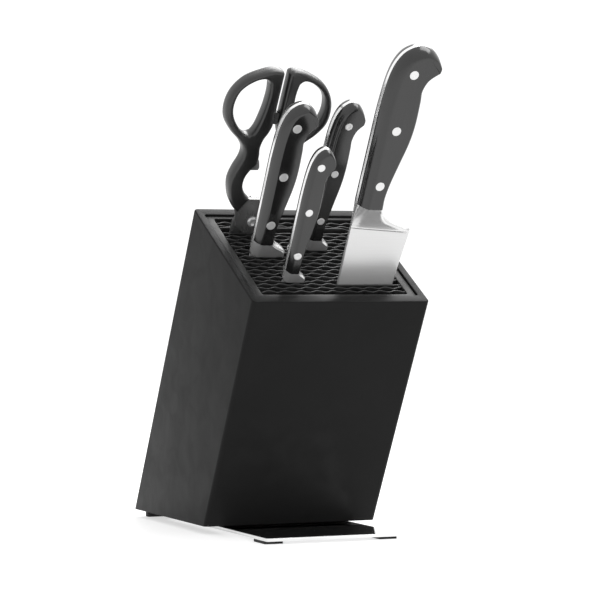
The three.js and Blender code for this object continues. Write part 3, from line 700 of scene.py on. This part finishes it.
# ---------- scissors ----------
def shrunk(loop, inset):
    """A closed loop moved inwards, or outwards where it runs the other way round."""
    points = np.array(loop)
    along = np.roll(points, -1, axis=0) - np.roll(points, 1, axis=0)
    normal = np.stack([-along[:, 1], along[:, 0]], 1)
    normal /= np.maximum(np.linalg.norm(normal, axis=1)[:, None], 1e-9)
    return points + normal * inset


def turning(loop):
    """Twice the signed area: positive for a loop that runs anticlockwise."""
    points = np.array(loop)
    after = np.roll(points, -1, axis=0)
    return float((points[:, 0] * after[:, 1] - after[:, 0] * points[:, 1]).sum())


def layered_solid(outer, holes, levels):
    """A flat outline with holes, built up of levels of (inset, z)."""
    loops = [outer if turning(outer) > 0 else outer[::-1]]
    loops += [hole if turning(hole) < 0 else hole[::-1] for hole in holes]
    verts, faces = [], []
    count = sum(len(loop) for loop in loops)
    for inset, z in levels:
        for loop in loops:
            verts += [(x, y, z) for x, y in shrunk(loop, inset)]
    cover = tessellate_polygon([[Vector((x, y, 0)) for x, y in loop] for loop in loops])
    top = count * (len(levels) - 1)
    faces += [tuple(t) for t in cover] + [tuple(i + top for i in t) for t in cover]
    for level in range(len(levels) - 1):
        start = level * count
        for loop in loops:
            for i in range(len(loop)):
                a, b = start + i, start + (i + 1) % len(loop)
                faces.append((a, b, b + count, a + count))
            start += len(loop)
    return verts, faces


def grip_piece(side, label):
    """A grip with its finger loop, rounded evenly all over by a remesh and some smoothing."""
    mirror = (side, 1)
    outer = [tuple(p * mirror) for p in np.vstack([catmull(GRIP_OUTER, 5), catmull(GRIP_INNER, 5)])]
    loop = [tuple(p * mirror) for p in catmull(GRIP_LOOP, 5)[:-1]]
    half, flat = GRIP_THICKNESS / 2, GRIP_FLAT / 2
    upper = [(GRIP_SHRINK + GRIP_ROUNDING * f, flat + (half - flat) * g) for f, g in rounding_profile(2, 5)]
    levels = [(inset, -z) for inset, z in reversed(upper)] + upper
    verts, faces = layered_solid(outer, [loop], levels)
    body = f"scissors_{label}"
    obj = piece(f"{body}_handle", verts, faces, scissors_place(), body, GRIP, (f"{body}_grip",),
                sharp=180)
    remesh = obj.modifiers.new("even", "REMESH")
    remesh.mode = "VOXEL"
    remesh.voxel_size = GRIP_VOXEL * MM
    remesh.use_smooth_shade = True
    soften = obj.modifiers.new("soften", "SMOOTH")
    soften.factor = 0.5
    soften.iterations = GRIP_SMOOTHING


def ridge_pieces(side, label):
    """Short upright ridges along the grip's inner edge, which hold a nut or a cap."""
    edge = catmull(GRIP_INNER, 12)
    along = np.gradient(edge, axis=0)
    travelled = np.concatenate([[0], np.cumsum(np.linalg.norm(np.diff(edge, axis=0), axis=1))])
    verts, faces = [], []
    for distance in np.arange(RIDGE_FIRST, RIDGE_LAST, RIDGE_PITCH):
        x, y = (np.interp(distance, travelled, edge[:, axis]) for axis in (0, 1))
        tx, ty = (np.interp(distance, travelled, along[:, axis]) for axis in (0, 1))
        x += RIDGE_SINK * ty / math.hypot(tx, ty)
        y -= RIDGE_SINK * tx / math.hypot(tx, ty)
        start = len(verts)
        for z, radius in RIDGE_ROWS:
            for k in range(RIDGE_SIDES):
                a = 2 * math.pi * k / RIDGE_SIDES
                verts.append((side * (x + radius * math.cos(a)), y + radius * math.sin(a), z))
        faces += strips(RIDGE_SIDES, len(RIDGE_ROWS), True, start) + caps(RIDGE_SIDES, len(RIDGE_ROWS), start)
    body = f"scissors_{label}"
    piece(f"{body}_ridges", verts, faces, scissors_place(), body, GRIP, sharp=60)


def bumper_piece():
    """The stop on the left grip that the closed grips rest on."""
    outline = rounded_rectangle(*BUMPER_BOX, BUMPER_RADIUS, 4)
    verts, faces = layered_solid(outline, [], [(0, -BUMPER_HALF), (0, BUMPER_HALF)])
    obj = piece("scissors_stop", verts, faces, scissors_place(), "scissors_left", GRIP, sharp=40)
    bevel = obj.modifiers.new("edges", "BEVEL")
    bevel.width = BUMPER_BEVEL * MM
    bevel.segments = 3


def pivot_piece():
    """The screw that joins the halves, with the same dished head at both ends."""
    reach = SCISSORS_STEEL + SCISSORS_STEEL_GAP / 2 + GAP
    top = reach + PIVOT_HEAD
    head = [(share * PIVOT_HEAD_RADIUS, top - depth) for share, depth in PIVOT_END]
    head += [(PIVOT_HEAD_RADIUS, reach + PIVOT_RIM_TOP), (PIVOT_HEAD_RADIUS, reach + PIVOT_RIM_FOOT),
             (PIVOT_RADIUS, reach + PIVOT_RIM_FOOT)]
    verts, faces = lathe(head + [(r, -z) for r, z in reversed(head)])
    piece("scissors_screw", verts, faces, scissors_place(), "scissors_right", RIVET_STEEL,
          ("scissors_pivot",), sharp=50)


# ---------- build ----------
block_and_frame()
lamellae()
foot_plate()
for each_knife in KNIVES:
    scale_piece(each_knife, 1)
    scale_piece(each_knife, -1)
    tang_piece(each_knife)
    bolster_piece(each_knife)
    blade_piece(each_knife)
    rivet_pieces(each_knife)
grip_piece(1, "right")
grip_piece(-1, "left")
ridge_pieces(1, "right")
ridge_pieces(-1, "left")
bumper_piece()
pivot_piece()
softened_node("scissors_right_blade", SCISSOR_STEEL, SCISSORS_BEVEL, 2)
softened_node("scissors_left_blade", SCISSOR_STEEL, SCISSORS_BEVEL, 2)


# ---------- stage, light and camera ----------
def stage_floor():
    mesh = bpy.data.meshes.new("studio_floor")
    reach = FLOOR_REACH
    mesh.from_pydata([(-reach, -reach, 0), (reach, -reach, 0), (reach, reach, 0), (-reach, reach, 0)], [],
                     [(0, 1, 2, 3)])
    floor = bpy.data.objects.new("studio_floor", mesh)
    bpy.context.scene.collection.objects.link(floor)
    s = Shader("studio_white", grey(0.5), 0, 0.7, 0.2)
    s.bsdf.inputs["Emission Color"].default_value = (1, 1, 1, 1)
    s.bsdf.inputs["Emission Strength"].default_value = FLOOR_GLOW
    s.tint(s.noise(3, 2), grey(0.49), grey(0.51))
    mesh.materials.append(s.material)


def area_light(name, place, size, power):
    data = bpy.data.lights.new(name, "AREA")
    data.shape = "RECTANGLE"
    data.size = data.size_y = size
    data.energy = power
    light = bpy.data.objects.new(name, data)
    light.location = place
    light.rotation_euler = (Vector(LIGHT_AIM) - Vector(place)).to_track_quat("-Z", "Y").to_euler()
    bpy.context.scene.collection.objects.link(light)


def studio():
    world = bpy.data.worlds.new("studio")
    world.use_nodes = True
    world.node_tree.nodes["Background"].inputs["Color"].default_value = (1, 1, 1, 1)
    world.node_tree.nodes["Background"].inputs["Strength"].default_value = WORLD_STRENGTH
    bpy.context.scene.world = world
    for light in LIGHTS:
        area_light(*light)
    bpy.context.scene.view_settings.view_transform = "Standard"


def photo_camera():
    """A distant, almost level camera in front of the block and to its left, turned towards it."""
    azimuth, pitch = math.radians(CAMERA_TURN), math.radians(CAMERA_PITCH)
    data = bpy.data.cameras.new("photo_camera")
    data.sensor_width, data.lens = SENSOR_WIDTH, LENS
    data.clip_start, data.clip_end = CLIP_NEAR, CLIP_FAR
    camera = bpy.data.objects.new("photo_camera", data)
    camera.location = UPRIGHT @ Vector(CAMERA_PLACE)
    level = math.cos(pitch)
    look = Vector((math.sin(azimuth) * level, math.cos(azimuth) * level, -math.sin(pitch)))
    camera.rotation_euler = look.to_track_quat("-Z", "Y").to_euler()
    bpy.context.scene.collection.objects.link(camera)
    bpy.context.scene.camera = camera


stage_floor()
studio()
photo_camera()
